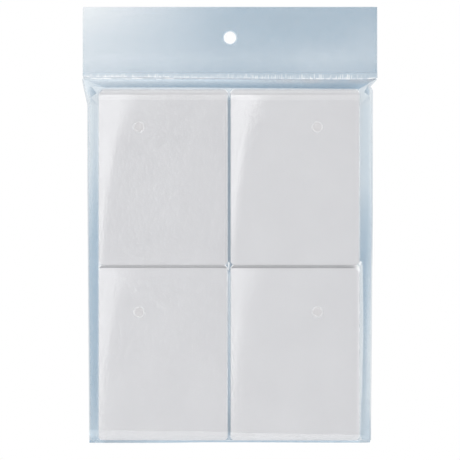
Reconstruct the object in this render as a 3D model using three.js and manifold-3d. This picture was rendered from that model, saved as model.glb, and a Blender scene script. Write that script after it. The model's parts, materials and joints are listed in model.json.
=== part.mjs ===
// Retail hang bag of card sleeves: a clear film header bag holding four stacks of sleeves, two by two.
// Millimetres, +Z up. The origin is the centre of the hang hole, on the bag's mid-plane.
// The front faces -Y.
import * as THREE from "three";
import { mergeVertices } from "three/addons/utils/BufferGeometryUtils.js";
import Module from "manifold-3d";

const wasm = await Module();
wasm.setup();

// Card sleeves, for cards of 63.5 x 88 mm. The back sheet stands above the front one by the lip.
const SLEEVE_WIDTH = 66.5;
const SLEEVE_HEIGHT = 90.3;
const SLEEVE_SHEET = 0.07;
const POCKET_AIR = 0.06;
const SLEEVE_CORNER_RADIUS = 1.8;
const LIP_CHAMFER = 1.3;
const LIP_HEIGHT = { upper: 2.8, lower: 1.5 };
const SIDE_FOLD_WIDTH = 0.6;
const SIDE_WELD_WIDTH = 1.3;
const BOTTOM_WELD_HEIGHT = 0.8;

// Stacks. One loose sleeve lies in front, and the others are jogged together in bundles.
const BUNDLES_PER_STACK = 7;
const SLEEVES_PER_BUNDLE = 7;
const SLEEVE_AIR = 0.02;
const COLUMN_GAP = 1.55;
const ROW_GAP = 0.3;
const CONTENTS_SHIFT = -0.5;

// Header, with the hang hole and the ribbed weld that closes the pouch below it.
// It is wider than the pouch's flat front by the overhang on each side, the film that the stacks draw in.
const HEADER_OVERHANG = 7.9;
const HEADER_ABOVE_HOLE = 15.9;
const HOLE_TO_SEAL = 18.4;
const HANG_HOLE_DIAMETER = 6.4;
const HEADER_PLY = 0.2;
const PLY_GAP = 0.02;
const SEAL_HEIGHT = 2.3;
const SEAL_FILM = 0.36;
const SEAL_RIB_PITCH = 1.6;
const SEAL_RIB_HEIGHT = 0.12;
const SEAL_GAP = 0.1;

// Pouch film, drawn out over the stacks from the seal and from the side welds.
const FILM = 0.2;
const FILM_CLEARANCE = 0.3;
const FOLD_ROOM_ABOVE = 0.5;
const FOLD_ROOM_BELOW = 0.2;
const SHOULDER_HEIGHT = 4.4;
const HEADSPACE = 0.8;
const EDGE_STANDOFF = 0.05;
const SIDE_SLOPE_TOP = 4.9;
const SIDE_SLOPE_BOTTOM = 4.0;
const CORNER_TAPER_HEIGHT = 13;
const SIDE_BEAD_WIDTH = 0.7;
const SIDE_BEAD_THICKNESS = 0.5;
const SIDE_BEAD_GAP = 0.1;

// Pinched fold in each top corner of a panel, measured from the corner of the panel's flat.
const TUCK_HEIGHT = 6.2;
const TUCK_TIP_INSET = 1.1;
const TUCK_RIM_INSET = 4.1;
const TUCK_DROP = 3;
const TUCK_TIP_DEPTH = 1.2;
const TUCK_RIM_DEPTH = 3.7;
const TUCK_FLOOR_DEPTH = 4.5;

// Vent holes, punched through both panels a little to the left of the bag's middle.
const VENT_DIAMETER = 5.2;
const VENT_BELOW_FOLD = 24.9;
const VENT_ROW_PITCH = 95.4;
const VENT_COLUMN_PITCH = 92;
const VENT_SHIFT = -0.9;

// Adhesive flap, which closes the mouth at the bottom and folds up over the front.
const SEAT_GAP = 0.3;
const FLAP_SAG = 0.9;
const FLAP_HINGE_ROOM = 0.35;
const FLAP_CLEARANCE = 0.3;
const FLAP_LIP_LEFT = 5.6;
const FLAP_LIP_RIGHT = 3.3;
const FLAP_WING_INSET = 1;
const ADHESIVE_HEIGHT = 1.8;
const ADHESIVE_THICKNESS = 0.15;
const ADHESIVE_END_INSET = 4;
const ADHESIVE_RISE = 0.9;

// How finely round outlines are cut.
const HANG_HOLE_SIDES = 32;
const VENT_SIDES = 16;
const CORNER_STEPS = 3;
const SAG_STEPS = 8;

// Places worked out from the sizes above.
const SLEEVE_THICKNESS = 2 * SLEEVE_SHEET + POCKET_AIR;
const BUNDLE_THICKNESS = SLEEVES_PER_BUNDLE * SLEEVE_THICKNESS;
const STACK_DEPTH = SLEEVE_THICKNESS + BUNDLES_PER_STACK * (BUNDLE_THICKNESS + SLEEVE_AIR);
const CONTENTS_WIDTH = 2 * SLEEVE_WIDTH + COLUMN_GAP;
const SEAL_TOP = -HOLE_TO_SEAL;
const SEAL_BOTTOM = SEAL_TOP - SEAL_HEIGHT;
const FOLD_LINE = SEAL_BOTTOM - FOLD_ROOM_ABOVE;
const PANEL_TOP = FOLD_LINE - FOLD_ROOM_BELOW;
const FLAT_TOP = PANEL_TOP - SHOULDER_HEIGHT;
const UPPER_STACK_BOTTOM = FLAT_TOP - HEADSPACE - SLEEVE_HEIGHT;
const LOWER_STACK_BOTTOM = UPPER_STACK_BOTTOM - ROW_GAP - SLEEVE_HEIGHT;
const FLAP_HINGE_Z = LOWER_STACK_BOTTOM - SEAT_GAP - FILM / 2;
const PANEL_BOTTOM = FLAP_HINGE_Z + FLAP_HINGE_ROOM;
const PANEL_DEPTH = STACK_DEPTH / 2 + FILM_CLEARANCE + FILM;
const FLAP_HINGE_Y = PANEL_DEPTH - FILM / 2;
const FLAT_HALF_WIDTH = CONTENTS_WIDTH / 2 + Math.abs(CONTENTS_SHIFT) + FILM_CLEARANCE;
const HEADER_WIDTH = 2 * (FLAT_HALF_WIDTH + HEADER_OVERHANG);
const SEAM_HALF_TOP = FLAT_HALF_WIDTH + SIDE_SLOPE_TOP;
const SEAM_HALF_BOTTOM = FLAT_HALF_WIDTH + SIDE_SLOPE_BOTTOM;
const SEAM_HALF_SEAL = HEADER_WIDTH / 2 - SIDE_BEAD_WIDTH - SIDE_BEAD_GAP;
const TAPER_END = PANEL_TOP - CORNER_TAPER_HEIGHT;
const SEAM_DEPTH = FILM + EDGE_STANDOFF;

const clearFilm = new THREE.MeshStandardMaterial({
  color: 0xc3d2de, roughness: 0.15, metalness: 0, transparent: true, opacity: 0.4,
});
const headerFilm = new THREE.MeshStandardMaterial({
  color: 0xbccbd8, roughness: 0.18, metalness: 0, transparent: true, opacity: 0.6,
});
const weldedFilm = new THREE.MeshStandardMaterial({ color: 0xd8e2ea, roughness: 0.35, metalness: 0 });
const sleeveFilm = new THREE.MeshStandardMaterial({ color: 0xd6d6d9, roughness: 0.4, metalness: 0 });
const adhesive = new THREE.MeshStandardMaterial({
  color: 0xdde4e8, roughness: 0.5, metalness: 0, transparent: true, opacity: 0.6,
});

const point = (x, y) => new THREE.Vector2(x, y);
const corner = (x, y, z) => new THREE.Vector3(x, y, z);

// Solids for joining and cutting, made from closed three.js geometry, and back again.
function toSolid(geometry) {
  const bare = geometry.clone();
  bare.deleteAttribute("normal");
  bare.deleteAttribute("uv");
  const merged = mergeVertices(bare, 1e-4);
  return new wasm.Manifold(
    new wasm.Mesh({
      numProp: 3,
      vertProperties: merged.attributes.position.array,
      triVerts: new Uint32Array(merged.index.array),
    }),
  );
}

function toGeometry(solid) {
  const mesh = solid.getMesh();
  const geometry = new THREE.BufferGeometry();
  geometry.setAttribute("position", new THREE.BufferAttribute(mesh.vertProperties, 3));
  geometry.setIndex(new THREE.BufferAttribute(mesh.triVerts, 1));
  geometry.computeVertexNormals();
  return geometry;
}

// An upright plate: a shape drawn as seen from the front, from depth `front` to depth `back`.
function uprightPlate(shape, front, back) {
  const plate = new THREE.ExtrudeGeometry(shape, {
    depth: back - front, bevelEnabled: false, curveSegments: CORNER_STEPS,
  });
  return plate.rotateX(Math.PI / 2).translate(0, back, 0);
}

// A bar along X from `left` to `right`: its section is drawn with depth across and height up.
function barAlongX(section, left, right) {
  const bar = new THREE.ExtrudeGeometry(section, { depth: right - left, bevelEnabled: false });
  const turn = new THREE.Matrix4().makeBasis(
    new THREE.Vector3(0, 1, 0), new THREE.Vector3(0, 0, 1), new THREE.Vector3(1, 0, 0),
  );
  return bar.applyMatrix4(turn).translate(left, 0, 0);
}

function ring(centreX, centreZ, diameter, sides) {
  const points = [];
  for (let i = 0; i < sides; i++) {
    const angle = (2 * Math.PI * i) / sides;
    points.push(point(
      centreX + (diameter / 2) * Math.cos(angle), centreZ + (diameter / 2) * Math.sin(angle),
    ));
  }
  return points;
}

// A film folded along straight creases. Each facet is an outline of 3-D corners, with holes if it has any.
// The film is `thickness` thick, measured along Y, towards +Y from the corners given.
function foldedFilm(facets, thickness) {
  const positions = [];
  for (const { outline, holes = [] } of facets) {
    const flat = outline.map((p) => point(p.x, p.z));
    const depth = outline[0].y;
    const corners = [...outline, ...holes.flat().map((p) => corner(p.x, depth, p.y))];
    for (const [a, b, c] of THREE.ShapeUtils.triangulateShape(flat, holes)) {
      const turned = THREE.ShapeUtils.area([a, b, c].map((i) => point(corners[i].x, corners[i].z)));
      const order = turned > 0 ? [a, b, c] : [a, c, b];
      for (const i of order) positions.push(corners[i].x, corners[i].y, corners[i].z);
    }
  }
  const loose = new THREE.BufferGeometry();
  loose.setAttribute("position", new THREE.Float32BufferAttribute(positions, 3));
  const skin = mergeVertices(loose, 1e-3);
  const front = skin.attributes.position;
  const count = front.count;
  const points = [];
  for (const shift of [0, thickness]) {
    for (let i = 0; i < count; i++) points.push(front.getX(i), front.getY(i) + shift, front.getZ(i));
  }
  const faces = [];
  const edges = new Set();
  const index = skin.index.array;
  for (let i = 0; i < index.length; i += 3) {
    const [a, b, c] = [index[i], index[i + 1], index[i + 2]];
    faces.push(a, b, c, a + count, c + count, b + count);
    for (const edge of [[a, b], [b, c], [c, a]]) edges.add(edge.join());
  }
  for (const edge of edges) {
    const [a, b] = edge.split(",").map(Number);
    if (!edges.has([b, a].join())) faces.push(b, a, a + count, b, a + count, b + count);
  }
  const film = new THREE.BufferGeometry();
  film.setAttribute("position", new THREE.Float32BufferAttribute(points, 3));
  film.setIndex(faces);
  film.computeVertexNormals();
  return film;
}

// Header
function headerPly(front) {
  const half = HEADER_WIDTH / 2;
  const shape = new THREE.Shape([
    point(-half, SEAL_TOP + SEAL_GAP), point(half, SEAL_TOP + SEAL_GAP),
    point(half, HEADER_ABOVE_HOLE), point(-half, HEADER_ABOVE_HOLE),
  ]);
  shape.holes.push(new THREE.Path(ring(0, 0, HANG_HOLE_DIAMETER, HANG_HOLE_SIDES)));
  return uprightPlate(shape, front, front + HEADER_PLY);
}

// Both plies pressed by a ribbed heat-seal bar: a ribbon that zigzags in depth along the header's width.
function headerSeal() {
  const ribs = Math.max(1, Math.round(HEADER_WIDTH / SEAL_RIB_PITCH));
  const step = HEADER_WIDTH / ribs / 2;
  const wave = [];
  for (let i = 0; i <= 2 * ribs; i++) {
    const side = i % 2 === 0 ? -1 : 1;
    wave.push(point(-HEADER_WIDTH / 2 + i * step, (side * SEAL_RIB_HEIGHT) / 2));
  }
  const front = wave.map((p) => point(p.x, p.y - SEAL_FILM / 2));
  const back = wave.map((p) => point(p.x, p.y + SEAL_FILM / 2)).reverse();
  const ribbon = new THREE.ExtrudeGeometry(new THREE.Shape([...front, ...back]), {
    depth: SEAL_HEIGHT, bevelEnabled: false,
  });
  return ribbon.translate(0, 0, SEAL_BOTTOM);
}

// Pouch
// The facets of one side of the front panel, from its flat out to the side weld. `side` is -1 on the left.
function panelSide(side) {
  const flatX = side * FLAT_HALF_WIDTH;
  const seal = corner(side * SEAM_HALF_SEAL, -SEAM_DEPTH, PANEL_TOP);
  const flatTop = corner(flatX, -PANEL_DEPTH, FLAT_TOP);
  const flatTuck = corner(flatX, -PANEL_DEPTH, FLAT_TOP - TUCK_DROP - TUCK_HEIGHT);
  const flatBottom = corner(flatX, -PANEL_DEPTH, PANEL_BOTTOM);
  const seamTop = corner(side * SEAM_HALF_TOP, -SEAM_DEPTH, TAPER_END);
  const seamBottom = corner(side * SEAM_HALF_BOTTOM, -SEAM_DEPTH, PANEL_BOTTOM);
  const tip = corner(
    flatX + side * TUCK_TIP_INSET, -PANEL_DEPTH + TUCK_TIP_DEPTH, FLAT_TOP - TUCK_DROP,
  );
  const rimX = flatX + side * TUCK_RIM_INSET;
  const rimY = -PANEL_DEPTH + TUCK_RIM_DEPTH;
  const rimTop = corner(rimX, rimY, FLAT_TOP - TUCK_DROP + TUCK_HEIGHT / 2);
  const rimBottom = corner(rimX, rimY, FLAT_TOP - TUCK_DROP - TUCK_HEIGHT / 2);
  const floor = corner(rimX, -PANEL_DEPTH + TUCK_FLOOR_DEPTH, FLAT_TOP - TUCK_DROP);
  return [
    [seal, flatTop, rimTop], [flatTop, tip, rimTop], [rimTop, tip, floor], [tip, rimBottom, floor],
    [seal, rimTop, floor], [seal, floor, seamTop], [floor, rimBottom, seamTop],
    [flatTop, flatTuck, tip], [tip, flatTuck, rimBottom], [flatTuck, seamTop, rimBottom],
    [flatTuck, flatBottom, seamTop], [flatBottom, seamBottom, seamTop],
  ].map((outline) => ({ outline }));
}

function ventHoles(shift) {
  const holes = [];
  for (const column of [-0.5, 0.5]) {
    for (const row of [0, 1]) {
      const z = FOLD_LINE - VENT_BELOW_FOLD - row * VENT_ROW_PITCH;
      holes.push(ring(shift + column * VENT_COLUMN_PITCH, z, VENT_DIAMETER, VENT_SIDES));
    }
  }
  return holes;
}

// A panel as it lies in front. `ventShift` is how far its vents sit to the right of its middle.
function foldedPanel(ventShift) {
  const tuckLine = FLAT_TOP - TUCK_DROP - TUCK_HEIGHT;
  const flat = {
    outline: [
      corner(-FLAT_HALF_WIDTH, -PANEL_DEPTH, PANEL_BOTTOM),
      corner(FLAT_HALF_WIDTH, -PANEL_DEPTH, PANEL_BOTTOM),
      corner(FLAT_HALF_WIDTH, -PANEL_DEPTH, tuckLine),
      corner(FLAT_HALF_WIDTH, -PANEL_DEPTH, FLAT_TOP),
      corner(-FLAT_HALF_WIDTH, -PANEL_DEPTH, FLAT_TOP),
      corner(-FLAT_HALF_WIDTH, -PANEL_DEPTH, tuckLine),
    ],
    holes: ventHoles(ventShift),
  };
  const shoulder = {
    outline: [
      corner(-FLAT_HALF_WIDTH, -PANEL_DEPTH, FLAT_TOP), corner(FLAT_HALF_WIDTH, -PANEL_DEPTH, FLAT_TOP),
      corner(SEAM_HALF_SEAL, -SEAM_DEPTH, PANEL_TOP), corner(-SEAM_HALF_SEAL, -SEAM_DEPTH, PANEL_TOP),
    ],
  };
  return foldedFilm([flat, shoulder, ...panelSide(-1), ...panelSide(1)], FILM);
}

// The melted bead that joins the two panels along one side, following their edge.
function sideWeld(side) {
  const edge = [
    [SEAM_HALF_SEAL, PANEL_TOP], [SEAM_HALF_TOP, TAPER_END], [SEAM_HALF_BOTTOM, PANEL_BOTTOM],
  ];
  const inner = edge.map(([x, z]) => point(side * (x + SIDE_BEAD_GAP), z));
  const outer = edge.map(([x, z]) => point(side * (x + SIDE_BEAD_GAP + SIDE_BEAD_WIDTH), z));
  const shape = new THREE.Shape([...inner, ...outer.reverse()]);
  return uprightPlate(shape, -SIDE_BEAD_THICKNESS / 2, SIDE_BEAD_THICKNESS / 2);
}

// Flap
const FLAP_FRONT = PANEL_DEPTH + FLAP_CLEARANCE + FILM;
const SLOPE_AT_MOUTH = (PANEL_DEPTH - SEAM_DEPTH) / SIDE_SLOPE_BOTTOM;
const WING_X = SEAM_HALF_BOTTOM - FLAP_WING_INSET;
const WING_Y = -FLAP_FRONT + (WING_X - FLAT_HALF_WIDTH) * SLOPE_AT_MOUTH;

// The flap's floor bellies out below its two folded edges: depth and height along its lower face.
function flapBelly(raise) {
  const points = [];
  for (let i = 0; i <= SAG_STEPS; i++) {
    const along = i / SAG_STEPS;
    const y = FLAP_HINGE_Y + along * (-FLAP_FRONT - FLAP_HINGE_Y);
    const z = FLAP_HINGE_Z - FILM / 2 - 4 * FLAP_SAG * along * (1 - along);
    points.push(point(y, z + raise));
  }
  return points;
}

function bottomFlap() {
  const reach = SEAM_HALF_BOTTOM + SIDE_BEAD_WIDTH;
  const floorSection = new THREE.Shape([...flapBelly(0), ...flapBelly(FILM).reverse()]);
  const floor = toSolid(barAlongX(floorSection, -reach, reach));
  const plan = new THREE.Shape([
    point(-FLAT_HALF_WIDTH, FLAP_HINGE_Y), point(-SEAM_HALF_BOTTOM, 0),
    point(-WING_X, WING_Y), point(-FLAT_HALF_WIDTH, -FLAP_FRONT),
    point(FLAT_HALF_WIDTH, -FLAP_FRONT), point(WING_X, WING_Y),
    point(SEAM_HALF_BOTTOM, 0), point(FLAT_HALF_WIDTH, FLAP_HINGE_Y),
  ]);
  const underside = FLAP_HINGE_Z - FLAP_SAG - FILM;
  const prism = new THREE.ExtrudeGeometry(plan, {
    depth: FLAP_HINGE_Z + FILM - underside, bevelEnabled: false,
  });
  const trimmedFloor = floor.intersect(toSolid(prism.translate(0, 0, underside)));

  const lipTop = (x) => {
    const along = (x + WING_X) / (2 * WING_X);
    return FLAP_HINGE_Z + FLAP_LIP_LEFT + along * (FLAP_LIP_RIGHT - FLAP_LIP_LEFT);
  };
  const lipPlan = [
    [-WING_X, WING_Y], [-FLAT_HALF_WIDTH, -FLAP_FRONT], [FLAT_HALF_WIDTH, -FLAP_FRONT], [WING_X, WING_Y],
  ];
  const facets = [];
  for (let i = 0; i + 1 < lipPlan.length; i++) {
    const [[x0, y0], [x1, y1]] = [lipPlan[i], lipPlan[i + 1]];
    facets.push({
      outline: [
        corner(x0, y0, underside), corner(x1, y1, underside),
        corner(x1, y1, lipTop(x1)), corner(x0, y0, lipTop(x0)),
      ],
    });
  }
  const aboveBelly = new THREE.Shape([
    ...flapBelly(0), point(-FLAP_FRONT, lipTop(-WING_X)), point(FLAP_HINGE_Y, lipTop(-WING_X)),
  ]);
  const lip = toSolid(foldedFilm(facets, FILM)).intersect(toSolid(barAlongX(aboveBelly, -reach, reach)));
  return toGeometry(trimmedFloor.add(lip));
}

function flapAdhesive() {
  const half = FLAT_HALF_WIDTH - ADHESIVE_END_INSET;
  const bottom = FLAP_HINGE_Z + ADHESIVE_RISE;
  const shape = new THREE.Shape([
    point(-half, bottom), point(half, bottom),
    point(half, bottom + ADHESIVE_HEIGHT), point(-half, bottom + ADHESIVE_HEIGHT),
  ]);
  const back = -FLAP_FRONT + FILM + ADHESIVE_THICKNESS;
  return uprightPlate(shape, back - ADHESIVE_THICKNESS, back);
}

// Sleeves, each with its bottom edge at height 0 and its front at depth 0.
function sheetOutline(height, chamfer) {
  const half = SLEEVE_WIDTH / 2;
  const r = SLEEVE_CORNER_RADIUS;
  const shape = new THREE.Shape();
  shape.moveTo(-half + r, 0).lineTo(half - r, 0);
  shape.absarc(half - r, r, r, -Math.PI / 2, 0, false);
  shape.lineTo(half, height - chamfer).lineTo(half - chamfer, height);
  shape.lineTo(-half + chamfer, height).lineTo(-half, height - chamfer);
  shape.lineTo(-half, r);
  shape.absarc(-half + r, r, r, Math.PI, 1.5 * Math.PI, false);
  return shape;
}

// One sleeve: two sheets, folded together on the left, welded on the right and below, open at the top.
function openSleeve(lipHeight) {
  const frontHeight = SLEEVE_HEIGHT - lipHeight;
  const frontSheet = toSolid(uprightPlate(sheetOutline(frontHeight, 0), 0, SLEEVE_SHEET));
  const backSheet = toSolid(
    uprightPlate(sheetOutline(SLEEVE_HEIGHT, LIP_CHAMFER), SLEEVE_SHEET + POCKET_AIR, SLEEVE_THICKNESS),
  );
  const half = SLEEVE_WIDTH / 2;
  const pocket = new THREE.Shape([
    point(-half + SIDE_FOLD_WIDTH, BOTTOM_WELD_HEIGHT),
    point(half - SIDE_WELD_WIDTH, BOTTOM_WELD_HEIGHT),
    point(half - SIDE_WELD_WIDTH, SLEEVE_HEIGHT), point(-half + SIDE_FOLD_WIDTH, SLEEVE_HEIGHT),
  ]);
  const welds = toSolid(uprightPlate(sheetOutline(frontHeight, 0), SLEEVE_SHEET, SLEEVE_SHEET + POCKET_AIR))
    .subtract(toSolid(uprightPlate(pocket, 0, SLEEVE_THICKNESS)));
  return toGeometry(frontSheet.add(welds).add(backSheet));
}

// A jogged bundle: the sleeves lie flat on each other, and their lips stand apart above the front sheets.
function sleeveBundle(lipHeight) {
  const frontHeight = SLEEVE_HEIGHT - lipHeight;
  let bundle = toSolid(uprightPlate(sheetOutline(frontHeight, 0), 0, BUNDLE_THICKNESS));
  const half = SLEEVE_WIDTH / 2;
  const lip = new THREE.Shape([
    point(-half, frontHeight - LIP_CHAMFER), point(half, frontHeight - LIP_CHAMFER),
    point(half, SLEEVE_HEIGHT - LIP_CHAMFER), point(half - LIP_CHAMFER, SLEEVE_HEIGHT),
    point(-half + LIP_CHAMFER, SLEEVE_HEIGHT), point(-half, SLEEVE_HEIGHT - LIP_CHAMFER),
  ]);
  for (let i = 1; i <= SLEEVES_PER_BUNDLE; i++) {
    const back = i * SLEEVE_THICKNESS;
    bundle = bundle.add(toSolid(uprightPlate(lip, back - SLEEVE_SHEET, back)));
  }
  return toGeometry(bundle);
}

function piece(name, geometry, material) {
  const mesh = new THREE.Mesh(geometry, material);
  mesh.name = name;
  return mesh;
}

// Assembly
const pack = new THREE.Group();

const header = new THREE.Group();
header.add(
  piece("header_front_ply", headerPly(-HEADER_PLY - PLY_GAP / 2), headerFilm),
  piece("header_back_ply", headerPly(PLY_GAP / 2), headerFilm),
  piece("header_seal", headerSeal(), weldedFilm),
);

// The back panel is turned to face back, so its vents are shifted the other way to meet the front ones.
const pouch = new THREE.Group();
const backPanel = piece("back_panel", foldedPanel(-VENT_SHIFT), clearFilm);
backPanel.rotation.z = Math.PI;
pouch.add(
  piece("front_panel", foldedPanel(VENT_SHIFT), clearFilm),
  backPanel,
  piece("left_side_weld", sideWeld(-1), weldedFilm),
  piece("right_side_weld", sideWeld(1), weldedFilm),
);

const flap = new THREE.Group();
flap.add(
  piece("bottom_flap", bottomFlap(), clearFilm),
  piece("flap_adhesive_strip", flapAdhesive(), adhesive),
);

const contents = new THREE.Group();
contents.position.set(CONTENTS_SHIFT, -STACK_DEPTH / 2, 0);
const rows = { upper: UPPER_STACK_BOTTOM, lower: LOWER_STACK_BOTTOM };
const columns = { left: -1, right: 1 };
for (const [row, bottom] of Object.entries(rows)) {
  const sleeve = openSleeve(LIP_HEIGHT[row]);
  const bundle = sleeveBundle(LIP_HEIGHT[row]);
  for (const [column, side] of Object.entries(columns)) {
    const stack = new THREE.Group();
    stack.position.set((side * (SLEEVE_WIDTH + COLUMN_GAP)) / 2, 0, bottom);
    stack.add(piece(`front_sleeve_${row}_${column}`, sleeve, sleeveFilm));
    for (let i = 0; i < BUNDLES_PER_STACK; i++) {
      const mesh = piece(`sleeve_bundle_${row}_${column}_${i + 1}`, bundle, sleeveFilm);
      mesh.position.y = SLEEVE_THICKNESS + SLEEVE_AIR + i * (BUNDLE_THICKNESS + SLEEVE_AIR);
      stack.add(mesh);
    }
    contents.add(stack);
  }
}

pack.add(header, pouch, flap, contents);

export default pack;
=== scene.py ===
"""Looks of a hang bag of card sleeves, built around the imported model.

Lengths are in millimetres and become metres where a mesh is made. The front faces -Y and +Z is up.
"""

import bisect
import json
import math
import random

import bpy
import numpy as np
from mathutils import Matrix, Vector, noise
from mathutils.geometry import delaunay_2d_cdt


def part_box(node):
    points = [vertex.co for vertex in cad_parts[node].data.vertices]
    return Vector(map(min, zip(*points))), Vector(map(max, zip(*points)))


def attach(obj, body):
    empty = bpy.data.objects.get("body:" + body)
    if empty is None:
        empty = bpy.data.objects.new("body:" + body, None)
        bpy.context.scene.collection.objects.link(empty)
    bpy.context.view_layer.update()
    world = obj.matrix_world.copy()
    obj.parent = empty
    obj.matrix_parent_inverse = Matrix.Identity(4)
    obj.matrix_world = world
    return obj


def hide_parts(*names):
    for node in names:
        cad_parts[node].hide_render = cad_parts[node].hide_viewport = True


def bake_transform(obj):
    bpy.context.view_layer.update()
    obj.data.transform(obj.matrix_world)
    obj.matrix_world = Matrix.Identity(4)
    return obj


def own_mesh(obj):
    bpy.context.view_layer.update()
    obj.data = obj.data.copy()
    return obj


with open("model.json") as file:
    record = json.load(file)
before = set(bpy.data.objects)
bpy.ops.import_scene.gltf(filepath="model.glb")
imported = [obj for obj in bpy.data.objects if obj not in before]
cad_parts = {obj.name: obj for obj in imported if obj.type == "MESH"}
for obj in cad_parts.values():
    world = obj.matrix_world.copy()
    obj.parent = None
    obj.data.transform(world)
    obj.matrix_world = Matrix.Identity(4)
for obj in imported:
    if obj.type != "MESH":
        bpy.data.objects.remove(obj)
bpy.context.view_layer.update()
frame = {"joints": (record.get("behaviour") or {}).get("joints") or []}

MM = 0.001


def node_box(node):
    """A CAD node's lowest and highest corners, in millimetres."""
    low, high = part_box(node)
    return low / MM, high / MM


def joint_place(name):
    """A joint's place in the frame, in millimetres."""
    joint = next(j for j in frame["joints"] if j["name"] == name)
    return Vector(joint["pos_m"]) / MM


# Places taken from the frame
header_low, header_high = node_box("header_front_ply")
seal_low, _ = node_box("header_seal")
panel_low, panel_high = node_box("front_panel")
flap_low, _ = node_box("bottom_flap")
strip_low, strip_high = node_box("flap_adhesive_strip")
HEADER_HALF = header_high.x
PANEL_TOP = panel_high.z
PANEL_BOTTOM = panel_low.z
HINGE = joint_place("flap_open")
FACES = {"front": 1, "back": -1}

# The four stacks of sleeves and the gaps between them
ROWS = ("upper", "lower")
COLUMNS = ("left", "right")
STACKS = {(row, column): node_box(f"front_sleeve_{row}_{column}") for row in ROWS for column in COLUMNS}
upper_left_low, upper_left_high = STACKS["upper", "left"]
upper_right_low, upper_right_high = STACKS["upper", "right"]
lower_left_low, lower_left_high = STACKS["lower", "left"]
STACK_TOP = upper_left_high.z
STACK_BOTTOM = lower_left_low.z
GAP_WIDTH = upper_right_low.x - upper_left_high.x
GAP_MIDDLE = (upper_right_low.x + upper_left_high.x) / 2
ROW_GAP_Z = (upper_left_low.z + lower_left_high.z) / 2
SLEEVE_RADIUS = 1.8
LIP_CHAMFER = 1.3

# Film of the bag, which is thicker in the CAD model
FILM = 0.1
CAD_FILM = 0.2
FILM_FRONT = panel_low.y - FILM / 2
SEAM_DEPTH = 0.3
FILM_CLEARANCE = 0.05
ROOM_ABOVE_STACKS = 0.8
FLAT_LEFT = upper_left_low.x - FILM_CLEARANCE
FLAT_RIGHT = upper_right_high.x + FILM_CLEARANCE
FLAT_TOP = STACK_TOP + ROOM_ABOVE_STACKS


def smooth(start, end, x):
    """0 up to start, 1 from end on, and a smooth step between them."""
    t = min(1.0, max(0.0, (x - start) / (end - start)))
    return t * t * (3 - 2 * t)


def mix(a, b, t):
    return a + (b - a) * t


def ramp(knots, x):
    """The value at x on a line through a few (place, value) knots. It is level beyond them."""
    places, values = zip(*knots)
    return float(np.interp(x, places, values))


def bell(distance, width):
    """1 at no distance, fading away over about twice the width."""
    return math.exp(-(distance / width) ** 2)


def free_cover(tint):
    """How much of the light each face of the film stops where it spans air: more where it is bluer."""
    return max(0.05, 0.10 + 0.26 * tint)


def ripple(x, z, size, seed):
    """Smooth noise from -1 to 1 with features about `size` mm wide."""
    return noise.noise(Vector((x / size, z / size, seed)))


# Meshes
def make_object(name, vertices, faces):
    mesh = bpy.data.meshes.new(name)
    mesh.from_pydata([Vector(v) * MM for v in vertices], [], faces)
    mesh.update()
    piece = bpy.data.objects.new(name, mesh)
    bpy.context.collection.objects.link(piece)
    return piece


def set_corner_values(piece, name, values):
    """A number for each corner of each face, which a material reads by name."""
    attribute = piece.data.attributes.new(name, "FLOAT", "CORNER")
    attribute.data.foreach_set("value", np.array(values, np.float32))


def set_vertex_values(piece, name, values):
    """A number for each vertex, the same at every corner that meets there."""
    set_corner_values(piece, name, [values[loop.vertex_index] for loop in piece.data.loops])


def set_even_values(piece, **values):
    """Numbers that are the same all over a piece."""
    for name, value in values.items():
        set_corner_values(piece, name, [value] * len(piece.data.loops))


def thicken(piece, thickness):
    """Gives a sheet its thickness, half to each side."""
    modifier = piece.modifiers.new("thickness", "SOLIDIFY")
    modifier.thickness = thickness * MM
    modifier.offset = 0
    evaluated = piece.evaluated_get(bpy.context.evaluated_depsgraph_get())
    mesh = bpy.data.meshes.new_from_object(evaluated)
    piece.modifiers.clear()
    piece.data = mesh
    mesh.name = piece.name


def shade(piece, sharp_degrees):
    piece.data.shade_smooth()
    piece.data.set_sharp_from_angle(angle=math.radians(sharp_degrees))


def dress(piece, material, body, slot, *nodes):
    """Gives a piece its material and its body, and hides the CAD nodes that it stands for. `slot` is not
    used.
    """
    piece.data.materials.append(material)
    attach(piece, body)
    if nodes:
        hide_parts(*nodes)


def let_light_through(piece):
    """Clear film throws no shadow on what lies behind it."""
    piece.visible_shadow = False


def dress_film(piece, sharp_degrees, material, body, slot, *nodes):
    """Shades and dresses a piece of clear film."""
    shade(piece, sharp_degrees)
    dress(piece, material, body, slot, *nodes)
    let_light_through(piece)


# Sheets drawn flat, as seen from the front, and then lifted to their depth
def run(a, b, step):
    """Points from a to b, both included, about `step` apart."""
    count = max(1, round((Vector(b) - Vector(a)).length / step))
    return [tuple(Vector(a).lerp(Vector(b), i / count)) for i in range(count + 1)]


def path(corners, step, closed=False):
    """Points along a line of corners."""
    ends = corners[1:] + corners[:1] if closed else corners[1:]
    points = [p for a, b in zip(corners, ends) for p in run(a, b, step)[:-1]]
    return points if closed else points + [corners[-1]]


def circle(x, z, radius, sides):
    turns = [2 * math.pi * i / sides for i in range(sides)]
    return [(x + radius * math.cos(t), z + radius * math.sin(t)) for t in turns]


def rectangle(left, right, bottom, top):
    return [(left, bottom), (right, bottom), (right, top), (left, top)]


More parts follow.
